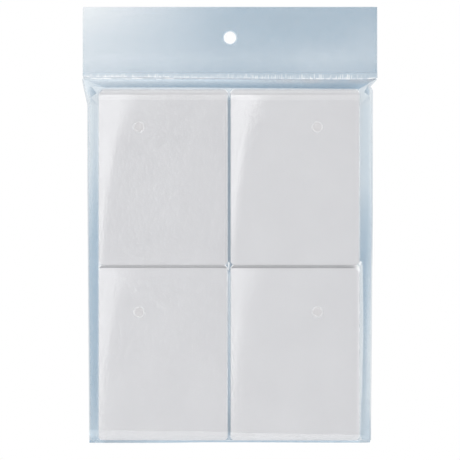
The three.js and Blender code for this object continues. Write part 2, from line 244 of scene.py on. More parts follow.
def sheet_outline(left, right, bottom, top, chamfer):
    """A sheet of a sleeve: its bottom corners are round, and the top corners of a lip are cut off."""
    steps = 5
    centre_z = bottom + SLEEVE_RADIUS
    arcs = []
    for centre_x, start in ((right - SLEEVE_RADIUS, -90), (left + SLEEVE_RADIUS, 180)):
        turns = [math.radians(start + 90 * i / steps) for i in range(steps + 1)]
        xs = [centre_x + SLEEVE_RADIUS * math.cos(t) for t in turns]
        zs = [centre_z + SLEEVE_RADIUS * math.sin(t) for t in turns]
        arcs.append(list(zip(xs, zs)))
    tops = [(right, top - chamfer), (right - chamfer, top), (left + chamfer, top), (left, top - chamfer)]
    if not chamfer:
        tops = [(right, top), (left, top)]
    return arcs[0] + tops + arcs[1]


def stack_outline(row, column):
    low, high = STACKS[row, column]
    return sheet_outline(low.x, high.x, low.z, high.z, LIP_CHAMFER)


def inside(points, outline):
    """Which of the points lie inside an outline."""
    x, z = np.array(points, float).reshape(-1, 2).T
    odd = np.zeros(len(x), bool)
    for (x0, z0), (x1, z1) in zip(outline, outline[1:] + outline[:1]):
        if z0 != z1:
            odd ^= ((z0 > z) != (z1 > z)) & (x < x0 + (x1 - x0) * (z - z0) / (z1 - z0))
    return odd


def middles(flat, faces):
    return [np.mean([flat[i] for i in face], axis=0) for face in faces]


def grid(low, high, step, rise=None):
    """Points inside a rectangle, `step` apart across and `rise` apart upwards."""
    columns = max(2, round((high[0] - low[0]) / step))
    rows = max(2, round((high[1] - low[1]) / (rise or step)))
    xs = np.linspace(low[0], high[0], columns + 1)[1:-1]
    zs = np.linspace(low[1], high[1], rows + 1)[1:-1]
    return [(x, z) for x in xs for z in zs]


def cut_sheet(outline, lines=(), holes=(), points=()):
    """Triangles that fill an outline. Each line is a crease, and each hole stays open."""
    coords = []
    edges = []
    for line, closed in [(outline, True), *((h, True) for h in holes), *((c, False) for c in lines)]:
        first = len(coords)
        coords += [Vector(p) for p in line]
        edges += [(first + i, first + i + 1) for i in range(len(line) - 1)]
        if closed:
            edges.append((first + len(line) - 1, first))
    coords += [Vector(p) for p, within in zip(points, inside(points, outline)) if within]
    flat, _, faces, *_ = delaunay_2d_cdt(coords, edges, [], 0, 1e-4)
    centres = middles(flat, faces)
    film_there = inside(centres, outline)
    for hole in holes:
        film_there &= ~inside(centres, hole)
    kept = [face for face, there in zip(faces, film_there) if there]
    used = sorted({i for face in kept for i in face})
    place = {old: new for new, old in enumerate(used)}
    return [tuple(flat[i]) for i in used], [[place[i] for i in face] for face in kept]


def at_points(value):
    """A value that is given for each point, or is the same at all of them."""
    return value if callable(value) else lambda x, z: value


class Facet:
    """A part of a sheet: its outline, its depth, and how blue, covering and creased it is at a point."""

    def __init__(self, outline, depth, tint, cover=None, crease=0.0):
        self.outline = outline
        self.depth = at_points(depth)
        self.tint = at_points(tint)
        self.cover = at_points(cover or (lambda x, z: free_cover(self.tint(x, z))))
        self.crease = at_points(crease)


def flat_facet(corners, tints, greyness):
    """A plain triangle between three corners in space, with a tint at each."""
    (x0, y0, z0), (x1, y1, z1), (x2, y2, z2) = corners
    spread = (x1 - x0) * (z2 - z0) - (x2 - x0) * (z1 - z0)

    def weigh(values):
        def at(x, z):
            u = ((x - x0) * (z2 - z0) - (x2 - x0) * (z - z0)) / spread
            v = ((x1 - x0) * (z - z0) - (x - x0) * (z1 - z0)) / spread
            return values[0] + u * (values[1] - values[0]) + v * (values[2] - values[0])
        return at

    outline = [(x0, z0), (x1, z1), (x2, z2)]
    return Facet(outline, weigh((y0, y1, y2)), weigh(tints), crease=greyness)


def crease_lines(facets):
    """The outlines of facets as lines to crease a sheet along."""
    return [path(facet.outline + facet.outline[:1], 1.5) for facet in facets]


def film_sheet(name, facets, outline, lines, holes, points, side=1):
    """Film in space, each face in the first facet that holds it. With side -1 it is at the back."""
    flat, faces = cut_sheet(outline, lines, holes, points)
    depths = [None] * len(flat)
    looks = {"tint": [], "cover": [], "crease": []}
    centres = middles(flat, faces)
    covered = [inside(centres, f.outline) for f in facets[:-1]]
    first_facet = np.argmax([*covered, np.ones(len(faces), bool)], axis=0)
    for face, number in zip(faces, first_facet):
        facet = facets[number]
        for i in face:
            if depths[i] is None:
                depths[i] = facet.depth(*flat[i])
            for look, values in looks.items():
                values.append(getattr(facet, look)(*flat[i]))
    vertices = [(x, side * y, z) for (x, z), y in zip(flat, depths)]
    piece = make_object(name, vertices, faces)
    for look, values in looks.items():
        set_corner_values(piece, look, values)
    thicken(piece, FILM)
    return piece


def film_net(name, rows, columns, point, thickness=FILM):
    """Film on a net: `point` gives a place and its looks for the shares of the way across and up the net."""
    vertices = []
    looks = {}
    for j in range(rows + 1):
        for i in range(columns + 1):
            place, values = point(i / columns, j / rows)
            vertices.append(place)
            for look, value in values.items():
                looks.setdefault(look, []).append(value)
    faces = []
    for j in range(rows):
        for i in range(columns):
            a = j * (columns + 1) + i
            faces.append((a, a + 1, a + columns + 2, a + columns + 1))
    piece = make_object(name, vertices, faces)
    for look, values in looks.items():
        set_vertex_values(piece, look, values)
    thicken(piece, thickness)
    return piece


# Beads that follow a line in space
def sweep(name, line, width, depth, sides=8, closed=False):
    """A bead of oval section, `width` across as seen from the front and `depth` from front to back."""
    points = [Vector(p) for p in line]
    count = len(points)
    vertices = []
    for i, point in enumerate(points):
        before = points[i - 1] if closed or i else point
        after = points[(i + 1) % count] if closed or i + 1 < count else point
        along = (after - before).normalized()
        across = along.cross(Vector((0, 1, 0))).normalized()
        for k in range(sides):
            turn = 2 * math.pi * k / sides
            offset = across * (width / 2 * math.cos(turn)) + Vector((0, depth / 2 * math.sin(turn), 0))
            vertices.append(point + offset)
    faces = []
    for i in range(count if closed else count - 1):
        j = (i + 1) % count
        for k in range(sides):
            m = (k + 1) % sides
            faces.append((i * sides + k, j * sides + k, j * sides + m, i * sides + m))
    if not closed:
        faces.append(tuple(range(sides)))
        faces.append(tuple(range((count - 1) * sides, count * sides))[::-1])
    return make_object(name, vertices, faces)


# Materials
PLASTIC_IOR = 1.5
BUMP_DISTANCE = 0.2 * MM


def add_node(tree, kind, output, inputs=None, **settings):
    """One output of a new node. Its inputs are numbers, colours or outputs of other nodes."""
    node = tree.nodes.new(kind)
    for key, value in settings.items():
        setattr(node, key, value)
    for key, value in (inputs or {}).items():
        if isinstance(value, bpy.types.NodeSocket):
            tree.links.new(value, node.inputs[key])
        else:
            node.inputs[key].default_value = value
    return node.outputs[output]


class Shader:
    """Shorthand for the nodes of one material."""

    def __init__(self, name):
        self.material = bpy.data.materials.new(name)
        self.material.use_nodes = True
        self.tree = self.material.node_tree
        self.surface = self.tree.nodes["Principled BSDF"]
        self.surface.inputs["IOR"].default_value = PLASTIC_IOR
        self.place = self.add("ShaderNodeTexCoord", "Object")

    def add(self, kind, output, inputs=None, **settings):
        return add_node(self.tree, kind, output, inputs, **settings)

    def feed(self, name, output):
        self.tree.links.new(output, self.surface.inputs[name])

    def value(self, name):
        return self.add("ShaderNodeAttribute", "Fac", attribute_name=name)

    def noise(self, scale, detail=2.0, stretch=None):
        place = self.place
        if stretch:
            place = self.add("ShaderNodeMapping", "Vector", {"Vector": place, "Scale": stretch})
        return self.add("ShaderNodeTexNoise", "Fac", {"Vector": place, "Scale": scale, "Detail": detail})

    def reach(self, value, low, high, to_low, to_high):
        limits = {"From Min": low, "From Max": high, "To Min": to_low, "To Max": to_high}
        return self.add("ShaderNodeMapRange", "Result", {"Value": value, **limits})

    def spread(self, noise_value, low, high):
        """Noise lies mostly between 0.3 and 0.7: this spreads it from low to high."""
        return self.reach(noise_value, 0.3, 0.7, low, high)

    def sum(self, a, b):
        return self.add("ShaderNodeMath", "Value", {0: a, 1: b}, operation="ADD")

    def colours(self, value, stops):
        node = self.tree.nodes.new("ShaderNodeValToRGB")
        elements = node.color_ramp.elements
        while len(elements) < len(stops):
            elements.new(1.0)
        for element, (place, colour) in zip(elements, stops):
            element.position = place
            element.color = (*colour, 1.0)
        self.tree.links.new(value, node.inputs["Fac"])
        return node.outputs["Color"]

    def blend(self, share, colour, other):
        inputs = {"Factor": share, 6: colour, 7: (*other, 1.0)}
        return self.add("ShaderNodeMix", 2, inputs, data_type="RGBA")

    def bump(self, height, strength):
        inputs = {"Height": height, "Strength": strength, "Distance": BUMP_DISTANCE}
        self.feed("Normal", self.add("ShaderNodeBump", "Normal", inputs))


# Colours of the film by its tint from -0.5 to 2: frosted white, pale at 0, blue at 1, deep blue
TINT_LOW, TINT_HIGH = -0.5, 2.0
HEADER_COLOURS = (
    (0.0, (0.95, 0.952, 0.945)),
    (0.2, (0.62, 0.693, 0.754)),
    (0.6, (0.30, 0.421, 0.519)),
    (1.0, (0.14, 0.22, 0.30)),
)
POUCH_COLOURS = (
    (0.0, (0.95, 0.96, 0.965)),
    (0.2, (0.76, 0.88, 0.96)),
    (0.6, (0.37, 0.55, 0.70)),
    (1.0, (0.15, 0.24, 0.32)),
)
# A warm grey that the film turns towards by its crease value: painted shadow just under the weld, and a
# greyer tone on parts of the front and the flap
CREASE_COLOUR = (0.50, 0.46, 0.45)
# Colours of a sleeve by how milky it is from 0 to 1
SLEEVE_COLOURS = (
    (0.0, (0.302, 0.298, 0.309)),
    (0.5, (0.624, 0.616, 0.633)),
    (1.0, (0.883, 0.876, 0.882)),
)


def film_material(name, colours, grain, roughness, frost=0.0):
    """Clear bluish film: its tint, which in places also holds painted shade and highlights, its greying, its
    cover, faint streaks and a fine crinkle.
    """
    shader = Shader(name)
    streaks = shader.spread(shader.noise(55.0, 3.0, (1.0, 1.0, 0.25)), -grain, grain)
    tint = shader.sum(shader.value("tint"), streaks)
    tint = shader.reach(tint, TINT_LOW, TINT_HIGH, 0.0, 1.0)
    colour = shader.colours(tint, colours)
    shader.feed("Base Color", shader.blend(shader.value("crease"), colour, CREASE_COLOUR))
    shader.feed("Alpha", shader.value("cover"))
    shader.feed("Roughness", shader.spread(shader.noise(240.0), roughness, roughness + 0.12 + frost))
    shader.bump(shader.noise(420.0, 3.0), 0.12 + frost)
    return shader.material


def sleeve_material():
    """Milky film with an orange-peel face: `milk` is how white a sheet looks over what lies behind it, and
    on the lips it also holds painted shade.
    """
    shader = Shader("sleeve_film")
    cloud = shader.spread(shader.noise(45.0), -0.02, 0.02)
    milk = shader.sum(shader.value("milk"), cloud)
    speckle = shader.spread(shader.noise(1300.0), -0.04, 0.04)
    milk = shader.sum(milk, speckle)
    shader.feed("Base Color", shader.colours(milk, SLEEVE_COLOURS))
    shader.feed("Roughness", shader.spread(shader.noise(300.0), 0.05, 0.09))
    shader.bump(shader.noise(800.0), 0.18)
    return shader.material


film = film_material("bag_film", POUCH_COLOURS, 0.05, 0.10)
header_film = film_material("header_film", HEADER_COLOURS, 0.03, 0.12)
welded_film = film_material("welded_film", HEADER_COLOURS, 0.10, 0.25, 0.2)
adhesive = film_material("adhesive", HEADER_COLOURS, 0.12, 0.4, 0.3)
sleeve_film = sleeve_material()


# Header: two plies with the hang hole through both
PLY_DEPTH = 0.1
PLY_WAVE = 0.12
HANG_HOLE_RADIUS = 3.2
HANG_RIM_RADIUS = HANG_HOLE_RADIUS + 0.2
RIM_DEPTH = 0.08
HANG_HOLE_RIM = {"width": 0.55, "tint": -0.3, "cover": 0.4, "film": welded_film, "slot": "welded_film"}
VENT_RIM = {"width": 0.9, "tint": TINT_LOW, "cover": 0.095, "film": film, "slot": "bag_film"}
# How blue the header is by height, towards its left and its right; the paler left and top are a painted
# reflection of the lights
HEADER_LEFT_TINT = ((-13, 0.42), (-9, 0.45), (-1, 0.415), (12, 0.16), (16, 0.08))
HEADER_RIGHT_TINT = ((-13, 0.78), (-9, 0.87), (-1, 0.97), (12, 1.03), (16, 1.02))


def header_tint_and_reflection(x, z):
    """Paler to the left and the top, bluer to the right, with a darker band just above the weld. The
    paleness and the two sheens on the right are painted reflections of the lights.
    """
    plain = mix(ramp(HEADER_LEFT_TINT, z), ramp(HEADER_RIGHT_TINT, z), smooth(-93, 14, x))
    low_sheen = 0.09 * bell(x - 50, 18) * smooth(2, -10, z)
    end_sheen = 0.10 * smooth(50, 74, x) * smooth(16, 2, z) * smooth(-14, -4, z)
    band = 0.18 * smooth(-13, -16, z)
    return plain - (low_sheen + end_sheen) + band


def header_ply(name, side, node):
    corners = rectangle(-HEADER_HALF, HEADER_HALF, header_low.z, header_high.z)
    hole = circle(0, 0, HANG_HOLE_RADIUS, 48)
    points = grid(corners[0], corners[2], 4)
    points = [p for p in points if math.hypot(*p) > HANG_HOLE_RADIUS + 2]
    points += circle(0, 0, HANG_HOLE_RADIUS + 1.2, 32)

    def depth(x, z):
        wave = PLY_WAVE + PLY_WAVE * ripple(x, z, 45, 1.5)
        ends = smooth(HEADER_HALF, HEADER_HALF - 8, abs(x))
        return -PLY_DEPTH - wave * ends * smooth(HANG_HOLE_RADIUS, 14, math.hypot(x, z))

    facet = Facet(corners, depth, header_tint_and_reflection)
    piece = film_sheet(name, [facet], path(corners, 3, True), [], [hole], points, side)
    dress_film(piece, 30, header_film, "header", "header_film", node)


def punched_rim(name, place, depth, radius, look, body):
    """The flat, soft bead that punching leaves round a hole."""
    line = [(x, depth, z) for x, z in circle(*place, radius, 48)]
    piece = sweep(name, line, look["width"], RIM_DEPTH, closed=True)
    set_even_values(piece, tint=look["tint"], cover=look["cover"])
    dress_film(piece, 60, look["film"], body, look["slot"])


for face, side in FACES.items():
    header_ply(f"header_{face}_sheet", side, f"header_{face}_ply")
for face, side in FACES.items():
    punched_rim(f"hang_hole_rim_{face}", (0, 0), -side * PLY_DEPTH, HANG_RIM_RADIUS, HANG_HOLE_RIM, "header")


def bend_at_fold(piece, material):
    """Gives a sheet that spans the fold its material, bakes its place into its mesh and lets light through
    it.
    """
    piece.data.materials.append(material)
    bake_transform(piece)
    let_light_through(piece)


# The crimped weld: fine upright strokes above a row of white specks, down to a pressed crease
SEAL_STEP = 0.17
SEAL_ROWS = 16
SEAL_OVERHANG = 0.1
SEAL_OVERLAP = 0.05
SEAL_DEPTH = 0.12
SEAL_THICKNESS = 0.16
SEAL_COVER = 0.5
# The strokes: how far apart they are, how strong, and at which share of the weld's height they start
STROKE_PITCH = (0.75, 1.3)
STROKE_AMOUNT = (0.1, 1.0)
STROKE_START = (0.0, 0.6)
STROKE_WIDTH = 0.26
STROKE_FADE = 0.3
STROKE_RELIEF = 0.08
SPECK_SIZE = 1.3
SPECK_HEIGHT = 0.3
SPECK_SPREAD = 0.28
SPECK_RELIEF = 0.05
# Along the weld: how blue it is at its top and its bottom, and over how much of its height it changes
SEAL_TOP_TINT = ((-70, 0.48), (-20, 0.80), (0, 0.84), (31, 1.02), (59, 0.92), (67, 0.90))
SEAL_BOTTOM_TINT = (
    (-70, 0.38), (-44, 0.46), (-31, 0.60), (-7, 0.62), (6, 0.76),
    (31, 0.72), (44, 0.84), (66, 0.8), (71, 1.0),
)
SEAL_CHANGE = ((-70, 0.25), (-20, 0.55), (31, 0.8), (59, 0.35))
# Along the weld: how much whiter its strokes and its specks are, and how low its crease runs
STROKE_STRENGTH = ((0, 0.8), (12, 1.1), (50, 1.3), (54, 1.9), (64, 1.8), (68, 0.6))
SPECK_STRENGTH = ((-20, 0.8), (25, 0.5), (45, 1.7))
CREASE_DROP = ((-76, -0.5), (-45, -0.35), (-20, 0.1), (30, 0.6), (59, 0.98), (70, 0.98), (76, 0.1))


def crease_z(x):
    return seal_low.z - ramp(CREASE_DROP, x)


def scatter_strokes():
    """Places along the weld, each with a strength and the height at which its stroke starts."""
    dice = random.Random(5)
    strokes = []
    place = -HEADER_HALF
    while place < HEADER_HALF:
        place += dice.uniform(*STROKE_PITCH)
        strokes.append((place, dice.uniform(*STROKE_AMOUNT), dice.uniform(*STROKE_START)))
    return strokes


STROKES = scatter_strokes()


def seal_stroke(x, down):
    """How much of an upright stroke there is at a point of the weld."""
    after = bisect.bisect(STROKES, (x,))
    amount = 0.0
    for place, strength, top in STROKES[max(0, after - 1):after + 1]:
        amount += strength * bell(x - place, STROKE_WIDTH) * smooth(top, top + STROKE_FADE, down)
    return amount


def seal_speck(x, z):
    """How much of a white speck there is at a point of the weld."""
    speck = max(0.0, 0.55 + ripple(x, 0, SPECK_SIZE, 7.7))
    return speck * bell(z - crease_z(x) - SPECK_HEIGHT, SPECK_SPREAD)


def seal_band():
    left, right = -HEADER_HALF - SEAL_OVERHANG, HEADER_HALF + SEAL_OVERHANG

    def point(along, up):
        down = 1 - up
        x = mix(left, right, along)
        z = mix(header_low.z + SEAL_OVERLAP, crease_z(x), down)
        stroke = seal_stroke(x, down)
        speck = seal_speck(x, z)
        depth = -SEAL_DEPTH - STROKE_RELIEF * stroke - SPECK_RELIEF * speck
        change = smooth(0.0, ramp(SEAL_CHANGE, x), down)
        plain = mix(ramp(SEAL_TOP_TINT, x), ramp(SEAL_BOTTOM_TINT, x), change)
        white = stroke * ramp(STROKE_STRENGTH, x) + speck * ramp(SPECK_STRENGTH, x)
        return (x, depth, z), {"tint": max(TINT_LOW, plain - white), "cover": SEAL_COVER}

    piece = film_net("crimped_weld", SEAL_ROWS, round((right - left) / SEAL_STEP), point, SEAL_THICKNESS)
    shade(piece, 50)
    bend_at_fold(piece, welded_film)
    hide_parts("header_seal")


seal_band()


# Pouch film: its named corners in space
def ridge_z(x):
    """The top edge of the flat front, which drops a little to the right."""
    return FLAT_TOP + ramp(((-20, 0.1), (31, -0.33), (59, -0.6)), x)


SEAM_NAMES = ("seal", "pinch", "out", "seam_top", "seam_middle", "seam_bottom")
# The film's edge along each side weld, as seen from the front. The right top corner is pinched in.
LEFT_SEAM = (
    (-75.7, PANEL_TOP), (-74.6, FLAT_TOP - 1.2), (-73.9, FLAT_TOP - 4.4),
    (-72.9, FLAT_TOP - 8.7), (-72.85, -78.0), (-71.85, PANEL_BOTTOM),
)
RIGHT_SEAM = (
    (75.2, PANEL_TOP), (71.9, FLAT_TOP + 0.8), (73.1, FLAT_TOP - 1.9),
    (73.05, FLAT_TOP - 8.7), (73.0, -92.0), (72.05, PANEL_BOTTOM),
)
# The tuck at the top of each side: place across, depth behind the front and height above its top
LEFT_TUCK = {
    "tip": (FLAT_LEFT - 1.2, 1.2, -2.8),
    "rim_top": (-71.7, 3.7, 0.9),
    "rim_bottom": (-71.7, 3.7, -5.1),
    "floor": (-72.0, 4.5, -2.8),
}
RIGHT_TUCK = {
    "tip": (FLAT_RIGHT + 2.5, 2.2, -2.2),
    "rim_top": (71.1, 3.7, 1.2),
    "rim_bottom": (71.6, 3.7, -4.1),
    "floor": (71.9, 4.7, -1.8),
}


def side_corners(edge, ridge_end, tuck, seam):
    """Named corners in space of the film beside the stacks."""
    corners = {
        "ridge_end": (ridge_end, FILM_FRONT, ridge_z(ridge_end)),
        "flat_corner": (edge, FILM_FRONT + 0.2, FLAT_TOP - 3.6),
        "flat_tuck": (edge, FILM_FRONT, FLAT_TOP - 9.2),
        "flat_bottom": (edge, FILM_FRONT, PANEL_BOTTOM),
    }
    for name, (x, back, up) in tuck.items():
        corners[name] = (x, FILM_FRONT + back, FLAT_TOP + up)
    for name, (x, z) in zip(SEAM_NAMES, seam):
        corners[name] = (x, -SEAM_DEPTH, z)
    return corners


LEFT = side_corners(FLAT_LEFT, FLAT_LEFT + 3.2, LEFT_TUCK, LEFT_SEAM)
RIGHT = side_corners(FLAT_RIGHT, FLAT_RIGHT - 0.3, RIGHT_TUCK, RIGHT_SEAM)


def outline_of(corners, names):
    """Corners by name, as seen from the front."""
    return [(corners[n][0], corners[n][2]) for n in names]


# The triangles of the tucked top corners, with how blue the film is at each of their corners: the darker
# blue inside each tuck is painted shade
CORNER_FACETS = (
    (("seal", "ridge_end", "rim_top"), (0.30, 0.70, 0.45)),
    (("ridge_end", "tip", "rim_top"), (0.36, 0.40, 0.36)),
    (("rim_top", "tip", "floor"), (0.75, 1.15, 0.62)),
    (("tip", "rim_bottom", "floor"), (1.15, 0.70, 0.62)),
    (("seal", "rim_top", "pinch"), (0.30, 0.42, 0.22)),
    (("rim_top", "floor", "pinch"), (0.62, 0.60, 0.25)),
    (("pinch", "floor", "out"), (0.25, 0.55, 0.20)),
    (("floor", "rim_bottom", "out"), (0.55, 0.50, 0.20)),
    (("out", "rim_bottom", "seam_top"), (0.20, 0.42, 0.22)),
    (("ridge_end", "flat_corner", "tip"), (0.38, 0.40, 0.42)),
    (("flat_corner", "flat_tuck", "tip"), (0.40, 0.42, 0.42)),
    (("tip", "flat_tuck", "rim_bottom"), (0.36, 0.42, 0.38)),
    (("flat_tuck", "seam_top", "rim_bottom"), (0.56, 0.30, 0.60)),
)
LEFT_GREYNESS, RIGHT_GREYNESS = 0.12, 0.1
# The side strips by height: how blue they are, how much paler by the weld and from which share of the width
# on, and how wide the fold beside the stacks is and how much paler, as a painted highlight
LEFT_STRIP = {
    "tint": ((-205, 0.84), (-180, 1.0), (-105, 1.0), (-90, 0.91), (-75, 0.73), (-58, 0.54), (-34, 0.44)),
    "weld_paleness": ((-200, 0.1), (-110, 0.15), (-89, 0.3), (-70, 0.4)),
    "weld_start": ((-110, 0.3),),
    "fold_width": ((-110, 0.5),),
    "fold_highlight": ((-110, 0.2),),
}
RIGHT_STRIP = {
    "tint": (
        (-200, 0.70), (-187, 0.73), (-160, 0.90), (-137, 1.03),
        (-115, 1.0), (-90, 0.78), (-75, 0.56), (-34, 0.50),
    ),
    "weld_paleness": (
        (-200, 0.1), (-187, 0.4), (-162, 0.6), (-136, 0.5), (-110, 0.3), (-89, 0.3), (-38, 0.35),
    ),
    "weld_start": ((-120, 0.3), (-100, 0.6)),
    "fold_width": ((-205, 0.7), (-187, 1.4), (-156, 2.35), (-140, 2.35), (-117, 2.0), (-116, 0.7)),
    "fold_highlight": ((-117, 0.7), (-116, 0.25)),
}
STRIP_BULGE = 0.8
STRIP_WAVE = 1.2
# Along the shoulder above the stacks: how blue it is at its top and its ridge; the darker ridge is painted
# shade
SHOULDER_TOP_TINT = ((-75, 0.36), (-62, 0.38), (-20, 0.54), (31, 0.68), (59, 1.0), (75, 0.86))
SHOULDER_RIDGE_TINT = (
    (-68, 0.82), (-62, 0.90), (-40, 1.03), (-20, 1.12), (31, 1.26), (59, 1.22), (68, 1.1),
)
SHOULDER_WAVE = 0.25
SHOULDER_END = 12


def shoulder_facet():
    """The film between the weld and the top of the flat front: it steepens downwards, where painted shade
    darkens it.
    """
    left_seal, left_end = LEFT["seal"][0], LEFT["ridge_end"][0]
    right_seal, right_end = RIGHT["seal"][0], RIGHT["ridge_end"][0]
    ridge = [(x, ridge_z(x)) for x, _ in run((left_end, 0), (right_end, 0), 1.5)]
    outline = [(left_seal, PANEL_TOP), *ridge, (right_seal, PANEL_TOP)]

    def fall_at(x, z):
        return min(1.0, max(0.0, (PANEL_TOP - z) / (PANEL_TOP - ridge_z(x))))

    def depth(x, z):
        fall = fall_at(x, z)
        end = min(x - mix(left_seal, left_end, fall), mix(right_seal, right_end, fall) - x)
        inward = smooth(0, SHOULDER_END, end)
        wave = SHOULDER_WAVE * ripple(x, 0, 16, 5.1) * fall * (1 - fall) * inward
        return mix(-SEAM_DEPTH, FILM_FRONT, fall ** (1 + 0.7 * inward)) + wave

    def tint(x, z):
        fall = fall_at(x, z)
        line = 0.2 * smooth(0.14, 0.0, fall) * smooth(-10, 30, x)
        return mix(ramp(SHOULDER_TOP_TINT, x), ramp(SHOULDER_RIDGE_TINT, x), fall ** 1.2) + line

    def crease(x, z):
        patch = 0.5 + 0.3 * ripple(x, z, 5, 2.7)
        return patch * smooth(0.7, 0.1, fall_at(x, z)) * smooth(-10, 45, x)

    return Facet(outline, depth, tint, crease=crease)


def strip_facet(corners, side, look):
    """The film from the flat front out to a side weld, paler along the weld, and along the fold with a
    painted highlight.
    """
    outline = outline_of(corners, ("flat_tuck", "flat_bottom", "seam_bottom", "seam_middle", "seam_top"))
    edge = corners["flat_tuck"][0]
    top_z = corners["seam_top"][2]
    seam = [(corners[n][2], corners[n][0]) for n in ("seam_bottom", "seam_middle", "seam_top")]

    def across(x, z):
        return min(1.0, max(0.0, (x - edge) / (ramp(seam, z) - edge)))

    def depth(x, z):
        u = across(x, z)
        swell = STRIP_BULGE + STRIP_WAVE * ripple(0, z, 24, 3.3 + side)
        bulge = u * (1 - u) * smooth(top_z, top_z - 20, z)
        return mix(FILM_FRONT, -SEAM_DEPTH, u) - bulge * swell

    def tint(x, z):
        width = ramp(look["fold_width"], z)
        pale = ramp(look["weld_paleness"], z) * smooth(ramp(look["weld_start"], z), 1.0, across(x, z))
        pale += ramp(look["fold_highlight"], z) * smooth(width, 0.7 * width, abs(x - edge))
        return ramp(look["tint"], z) * (1 - pale)

    return Facet(outline, depth, tint)


LEFT_FACET = strip_facet(LEFT, -1, LEFT_STRIP)
RIGHT_FACET = strip_facet(RIGHT, 1, RIGHT_STRIP)

# The flat front, where the film clings to the stacks and where it is bare
CLINGING_TINT = 0.2
CLINGING_COVER = 0.03
# Above the stacks, where only film lies behind, the bare film is paler: partly a painted highlight along the
# ridge
ABOVE_LEFT_TINT, ABOVE_MIDDLE_TINT = 0.48, 0.62
SIDE_TINT = 0.25
CROSSING_TINT = 0.5
CROSSING_REACH = 2.2
BARE_GREYNESS = 0.25
# How blue the film is in the upright gap, by height, and how much less so at a gap's width from its middle:
# the deep blue there is painted shade between the stacks
GAP_TINT_AND_SHADE = (
    (-205.6, 1.3), (-204.9, 1.5), (-203.4, 1.98), (-197, 1.9), (-188, 1.5), (-150, 1.03),
    (-122, 0.95), (-119, 1.75), (-116, 1.92), (-33, 1.88), (-30, 0.7), (-27, 0.55),
)
GAP_FADE = 0.4
# From the middle of the gap to just past its edge, as a share of its width
GAP_EDGE = 0.55
# How blue the film is at the rounded bottom corners of the lower stacks, from left to right
BOTTOM_CORNER_TINT = ((-67, 1.05), (0, 1.1), (67, 0.72))
VENT_RADIUS = 2.6
VENTS = [(x, z) for x in (-46.9, 45.1) for z in (-46.1, -141.5)]
VENT_RIM_DEPTH = FILM_FRONT - FILM / 2


def off_centre(x):
    """The distance from the middle of the upright gap, in widths of the gap."""
    return abs(x - GAP_MIDDLE) / GAP_WIDTH


def bare_tint(x, z):
    if z > STACK_TOP - 0.01:
        return mix(ABOVE_LEFT_TINT, ABOVE_MIDDLE_TINT, smooth(-68, 0, x))
    if z < STACK_BOTTOM + SLEEVE_RADIUS + 0.05:
        return ramp(BOTTOM_CORNER_TINT, x)
    if off_centre(x) > 2:
        return SIDE_TINT
    if x < GAP_MIDDLE - GAP_EDGE * GAP_WIDTH and abs(z - ROW_GAP_Z) < CROSSING_REACH:
        return CROSSING_TINT
    return ramp(GAP_TINT_AND_SHADE, z) - GAP_FADE * off_centre(x)


def bare_cover(x, z):
    """The film clings to the lips between an upper and a lower stack."""
    between_rows = off_centre(x) > GAP_EDGE and FLAT_LEFT + 2 < x < FLAT_RIGHT - 2
    if between_rows and abs(z - ROW_GAP_Z) < 0.2:
        return CLINGING_COVER
    return free_cover(bare_tint(x, z))


def panel_facets():
    facets = []
    for corners, greyness in ((LEFT, LEFT_GREYNESS), (RIGHT, RIGHT_GREYNESS)):
        for names, tints in CORNER_FACETS:
            facets.append(flat_facet([corners[n] for n in names], tints, greyness))
    facets += [shoulder_facet(), LEFT_FACET, RIGHT_FACET]
    for row, column in STACKS:
        facets.append(Facet(stack_outline(row, column), FILM_FRONT, CLINGING_TINT, CLINGING_COVER))
    flat_front = rectangle(FLAT_LEFT, FLAT_RIGHT, PANEL_BOTTOM, FLAT_TOP)
    facets.append(Facet(flat_front, FILM_FRONT, bare_tint, bare_cover, BARE_GREYNESS))
    return facets


def panel(name, side, node):
    facets = panel_facets()
    outline = path(outline_of(LEFT, SEAM_NAMES) + outline_of(RIGHT, SEAM_NAMES)[::-1], 2.5, True)
    strip_top = FLAT_TOP - 9
    points = grid((FLAT_LEFT, PANEL_BOTTOM), (FLAT_RIGHT, strip_top), 8)
    points = [p for p in points if all(math.dist(p, v) > VENT_RADIUS + 1 for v in VENTS)]
    points += grid((-75, FLAT_TOP - 0.5), (75, PANEL_TOP), 0.8)
    points += grid((-73, PANEL_BOTTOM), (FLAT_LEFT, strip_top), 0.5, 2.5)
    points += grid((FLAT_RIGHT, PANEL_BOTTOM), (73, strip_top), 0.4, 2.5)
    holes = [circle(x, z, VENT_RADIUS, 32) for x, z in VENTS]
    piece = film_sheet(name, facets, outline, crease_lines(facets), holes, points, side)
    dress_film(piece, 14, film, "pouch", "bag_film", node)


for face, side in FACES.items():
    panel(f"{face}_film", side, f"{face}_panel")
for number, vent in enumerate(VENTS):
    for face, side in FACES.items():
        rim_name = f"vent_rim_{face}_{number + 1}"
        punched_rim(rim_name, vent, side * VENT_RIM_DEPTH, VENT_RADIUS, VENT_RIM, "pouch")

# Short creases where the film dips between the stacks, white as painted highlights: both ends as seen from
# the front, width and cover
CREASES = (
    ((66.8, -117.2), (67.6, -115.4), 0.9, 0.5),
    ((65.4, -118.4), (66.9, -120.5), 1.2, 0.7),
    ((-0.6, -115.9), (-0.75, -119.9), 0.9, 0.45),
)
CREASE_RISE = 0.06


def painted_crease_glint(name, start, end, width, cover):
    line = [(x, FILM_FRONT - CREASE_RISE, z) for x, z in run(start, end, 0.3)]
    piece = sweep(name, line, width, RIM_DEPTH)
    # The crease is whitest film: a painted highlight
    set_even_values(piece, tint=TINT_LOW, cover=cover)
    dress_film(piece, 60, film, "pouch", "bag_film")


for number, crease in enumerate(CREASES):
    painted_crease_glint(f"painted_crease_glint_{number + 1}", *crease)


